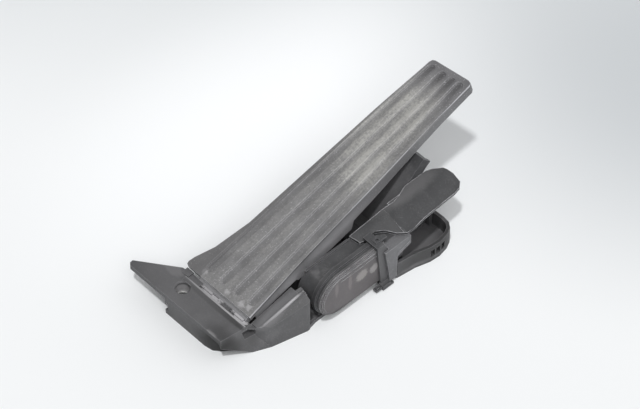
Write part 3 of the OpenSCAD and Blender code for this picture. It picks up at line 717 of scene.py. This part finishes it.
# %% Wire
WIRE_SIDES = 12


def wire_mesh(name, path, wire):
    vertices = []
    for point, outward in path:
        for side in range(WIRE_SIDES):
            angle = 2 * math.pi * side / WIRE_SIDES
            ring = outward * wire * math.cos(angle) + Vector((0, 0, wire * math.sin(angle)))
            vertices.append((point + ring) * MM)
    last = (len(path) - 1) * WIRE_SIDES
    faces = [list(range(WIRE_SIDES))]
    for start in range(0, last, WIRE_SIDES):
        for side in range(WIRE_SIDES):
            after = (side + 1) % WIRE_SIDES
            faces.append([start + side, start + WIRE_SIDES + side,
                          start + WIRE_SIDES + after, start + after])
    faces.append([last + side for side in reversed(range(WIRE_SIDES))])
    mesh = bpy.data.meshes.new(name)
    mesh.from_pydata(vertices, [], faces)
    for face in mesh.polygons:
        face.use_smooth = True
    mesh.materials.append(slots["spring_steel"])
    return mesh


print("sides of the wire:", WIRE_SIDES)

# %% [markdown]
# ## Coil springs
#
# Two return springs stand one inside the other under the treadle, and a small one stands in the
# kick-down case. Each takes its place, height and width from the solid that it replaces.

# %% Coil springs


def wind(node, name, wire, turns):
    low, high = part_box(node)
    centre = ((low.x + high.x) / 2 / MM, (low.y + high.y) / 2 / MM)
    radius = (high.x - low.x) / 2 / MM - wire
    path = coil_path(centre, radius, wire, low.z / MM, high.z / MM, turns)
    piece = bpy.data.objects.new(name, wire_mesh(name, path, wire))
    bpy.context.scene.collection.objects.link(piece)
    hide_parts(node)
    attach(piece, "base")
    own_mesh(piece)
    print(name, "radius", round(radius, 2), "from", round(low.z / MM, 2), "to", round(high.z / MM, 2))


wind("outer_return_spring", "outer_spring_wire", wire=0.8, turns=7.5)
wind("inner_return_spring", "inner_spring_wire", wire=0.6, turns=9.5)
wind("kickdown_spring", "kickdown_spring_wire", wire=0.45, turns=7.0)

# %% [markdown]
# ## Table
#
# The pedal lies on a white table that falls off a little in brightness away from the viewer. Lamps
# could make that fall-off, but they would change the pedal too, so it is painted into the table:
# one tone near, one far, and two wide soft patches for its brightest and its dullest stretch.

# %% Table
# Metres: its width, and how far away from the origin it begins and ends to fade
TABLE_SIZE = 6.0
FADES_FROM = 0.12
FADES_TO = 0.42
TABLE_NEAR = (0.86, 0.875, 0.885, 1.0)
TABLE_FAR = (0.66, 0.685, 0.7, 1.0)
TABLE_ROUGHNESS = 0.9
PATCH_SOFTNESS = 1.6
# Centre and size in millimetres, turn and tone
TABLE_PATCHES = [
    # Painted light: brightest stretch of the table, left of the treadle, over its soft shadow
    ((-88.0, 135.0, 0.0), (85.0, 135.0, 50.0), -0.1, (0.97, 0.985, 1.0, 1.0)),
    # Painted shade: duller far right
    ((60.0, 390.0, 0.0), (150.0, 150.0, 50.0), 0.0, (0.56, 0.585, 0.605, 1.0)),
]


def table_finish():
    finish = Finish("table_paint")
    away = Vector((-backwards.x, -backwards.y, 0)).normalized()
    depth = finish.node("ShaderNodeVectorMath", {0: finish.place, 1: away}, operation="DOT_PRODUCT")
    paint = finish.mix(
        finish.ramp(depth.outputs["Value"], FADES_FROM, FADES_TO), TABLE_NEAR, TABLE_FAR)
    for centre, size, turn, tone in TABLE_PATCHES:
        mask = finish.patch(centre, size, (0, 0, turn), soft=PATCH_SOFTNESS)
        paint = finish.mix(mask, paint, tone)
    finish.give(base_color=paint, roughness=TABLE_ROUGHNESS)
    return finish.material


half = TABLE_SIZE / 2
corners = [(-half, -half, 0), (half, -half, 0), (half, half, 0), (-half, half, 0)]
table_mesh = bpy.data.meshes.new("table")
table_mesh.from_pydata(corners, [], [(0, 1, 2, 3)])
table_mesh.materials.append(table_finish())
table = bpy.data.objects.new("table", table_mesh)
bpy.context.scene.collection.objects.link(table)
print("table is", TABLE_SIZE, "m wide")

# %% [markdown]
# ## Lamps
#
# The photograph has one clear shadow with a soft rim, from a small strong light a little to the
# right and towards the viewer. A sun lamp gives that, and its angle sets how soft the rim is. A
# second, much wider one stands for a window at the right: it lights the sides of treadle, cover
# and shield, which the first one leaves dark, and its own shadow is too soft to show.

# %% Lamps


def far_light(name, comes_from, strength, angle):
    lamp = bpy.data.objects.new(name, bpy.data.lights.new(name, "SUN"))
    lamp.data.energy = strength
    lamp.data.angle = math.radians(angle)
    lamp.rotation_mode = "QUATERNION"
    lamp.rotation_quaternion = Vector(comes_from).to_track_quat("Z", "Y")
    bpy.context.scene.collection.objects.link(lamp)
    print(name, "at strength", strength)


far_light("sun", comes_from=(0.19, -0.29, 1.0), strength=1.4, angle=4.0)
far_light("window", comes_from=(0.5, -0.3, 0.8), strength=0.6, angle=40.0)

# %% [markdown]
# ## Sky
#
# The rest of the room is bright on the right and at the back, and dark at the front left. A sky of
# one even strength would make the plastic look flat. So the sky gets a slope: its strength follows
# the direction, and never falls below a small least value. Lamps and sky together light a level
# surface at about strength 1, so a colour shows about as it is written.

# %% Sky
SKY_STRENGTH = 0.49
SKY_SLOPE = Vector((0.9, 0.7, 0.0))
SKY_LEAST = 0.03
WHITE = (1.0, 1.0, 1.0, 1.0)

world = bpy.data.worlds.new("sky")
world.use_nodes = True
sky = Graph(world.node_tree)
direction = sky.node("ShaderNodeTexCoord").outputs["Generated"]
slope = sky.node(
    "ShaderNodeVectorMath", {0: direction, 1: SKY_SLOPE * SKY_STRENGTH}, operation="DOT_PRODUCT")
level = sky.math("ADD", slope.outputs["Value"], SKY_STRENGTH)
background = sky.tree.nodes["Background"]
background.inputs["Color"].default_value = WHITE
sky.set(background.inputs["Strength"], sky.math("MAXIMUM", level, SKY_LEAST))
bpy.context.scene.world = world
print("sky strength", SKY_STRENGTH)
